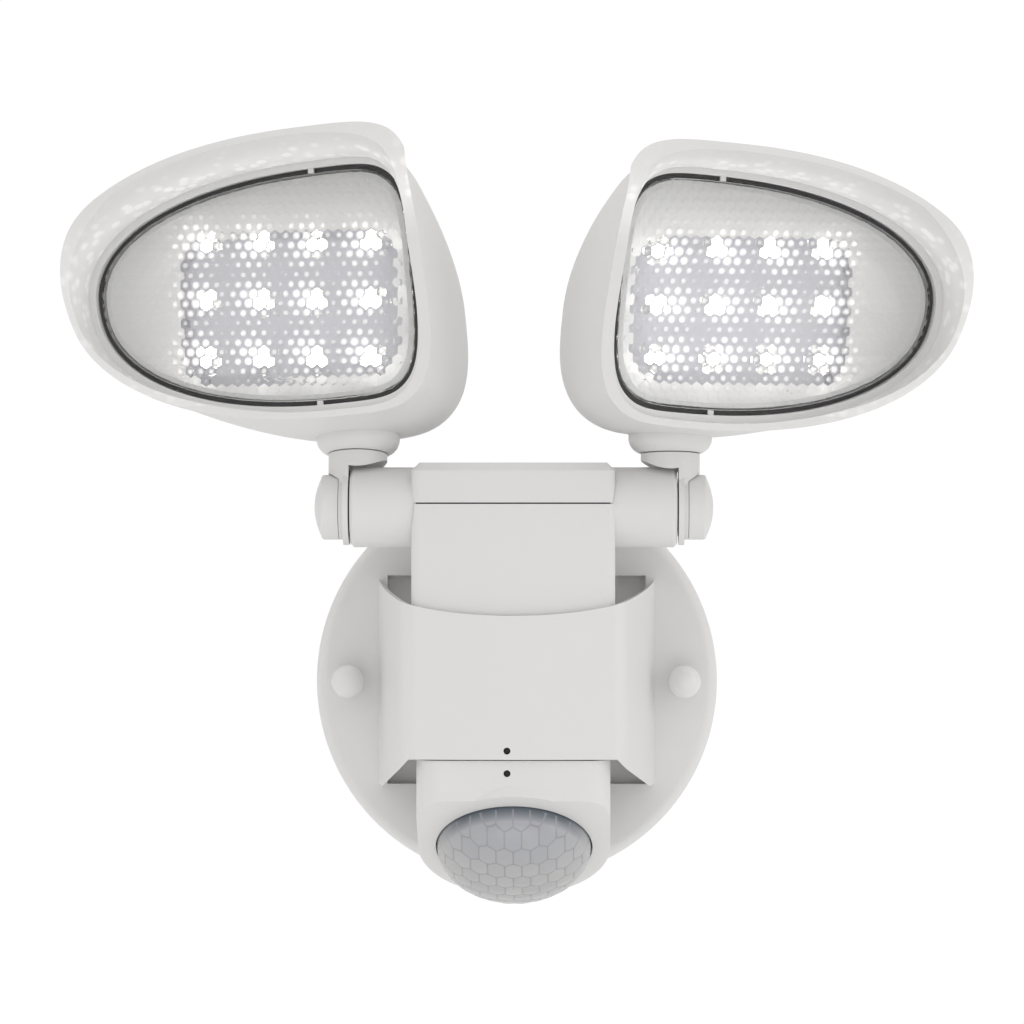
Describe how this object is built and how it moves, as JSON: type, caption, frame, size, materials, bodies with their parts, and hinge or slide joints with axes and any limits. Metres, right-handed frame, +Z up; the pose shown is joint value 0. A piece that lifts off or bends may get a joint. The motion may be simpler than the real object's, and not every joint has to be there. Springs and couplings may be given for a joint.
{
  "type": "motion sensor security light",
  "caption": "Outdoor wall light: round canopy with a tapered sleeve, tee arm, two visored LED heads that tilt and swivel, and a panning motion sensor below.",
  "frame": {"origin": "centre of the mounting plate's back face, on the wall", "axes": "+Z up, +Y into the wall, +X to the right as seen by someone facing the light"},
  "size_m": [0.2472, 0.1176, 0.2125],
  "materials": {
    "white_moulding": "satin white, finely textured",
    "dark_rubber": "black foam and rubber",
    "zinc_plate": "zinc plated",
    "painted_nut": "white painted",
    "circuit_board": "green solder mask",
    "clear_lens": "clear, moulded with small domes inside",
    "reflector_white": "white, light grey in its own shade",
    "led_board_face": "pale lilac grey solder mask",
    "led_emitter": "lit white",
    "bare_aluminium": "plain",
    "sensor_dome": "translucent lilac grey, segmented",
    "black_moulding": "black"
  },
  "bodies": {
    "base": {"canopy": "white_moulding", "wall_gasket": "dark_rubber", "mounting_plate": "zinc_plate", "mounting_studs": "zinc_plate", "cap_nuts": "painted_nut", "stud_seals": "dark_rubber", "arm_body": "white_moulding", "arm_cover": "white_moulding", "cover_screws": "zinc_plate", "foot_screws": "zinc_plate", "driver_board": "circuit_board"},
    "left_elbow": {"left_elbow": "white_moulding", "left_tilt_seal": "dark_rubber", "left_tilt_retainer": "zinc_plate", "left_pivot_cap": "white_moulding", "left_swivel_retainer": "zinc_plate"},
    "left_head": {"left_shell": "white_moulding", "left_lens": "clear_lens", "left_lens_gasket": "dark_rubber", "left_reflector": "reflector_white", "left_led_board": "led_board_face", "left_leds": "led_emitter", "left_heat_sink": "bare_aluminium", "left_board_screws": "zinc_plate"},
    "right_elbow": {"right_elbow": "white_moulding", "right_tilt_seal": "dark_rubber", "right_tilt_retainer": "zinc_plate", "right_pivot_cap": "white_moulding", "right_swivel_retainer": "zinc_plate"},
    "right_head": {"right_shell": "white_moulding", "right_lens": "clear_lens", "right_lens_gasket": "dark_rubber", "right_reflector": "reflector_white", "right_led_board": "led_board_face", "right_leds": "led_emitter", "right_heat_sink": "bare_aluminium", "right_board_screws": "zinc_plate"},
    "sensor": {"sensor_housing": "white_moulding", "sensor_lens": "sensor_dome", "lens_clamp": "black_moulding", "sensor_board": "circuit_board", "pir_detector": "zinc_plate", "pan_collar": "zinc_plate", "control_board": "circuit_board"},
    "range_dial": {"range_dial": "black_moulding"},
    "time_switch": {"time_switch": "black_moulding"}
  },
  "joints": [
    {"name": "left_tilt", "type": "hinge", "parent": "base", "child": "left_elbow", "pos_m": [-0.0448, -0.062, 0.0494], "axis": [1, 0, 0], "range_deg": [-28, 80]},
    {"name": "left_swivel", "type": "hinge", "parent": "left_elbow", "child": "left_head", "pos_m": [-0.043, -0.05916, 0.06403], "axis": [0, 0.1908, 0.9816], "range_deg": [-30, 90]},
    {"name": "right_tilt", "type": "hinge", "parent": "base", "child": "right_elbow", "pos_m": [0.0448, -0.062, 0.0494], "axis": [1, 0, 0], "range_deg": [-28, 80]},
    {"name": "right_swivel", "type": "hinge", "parent": "right_elbow", "child": "right_head", "pos_m": [0.043, -0.06088, 0.06426], "axis": [0, 0.075, 0.9972], "range_deg": [-90, 30]},
    {"name": "sensor_pan", "type": "hinge", "parent": "base", "child": "sensor", "pos_m": [0, -0.062, -0.0195], "axis": [0, 0, 1], "range_deg": [-45, 45]},
    {"name": "range_turn", "type": "hinge", "parent": "sensor", "child": "range_dial", "pos_m": [0.009, -0.03587, -0.0278], "axis": [0, 1, 0], "range_deg": [-135, 135]},
    {"name": "time_slide", "type": "slide", "parent": "sensor", "child": "time_switch", "axis": [0, 0, 1], "range_m": [-0.0025, 0.0025]}
  ]
}
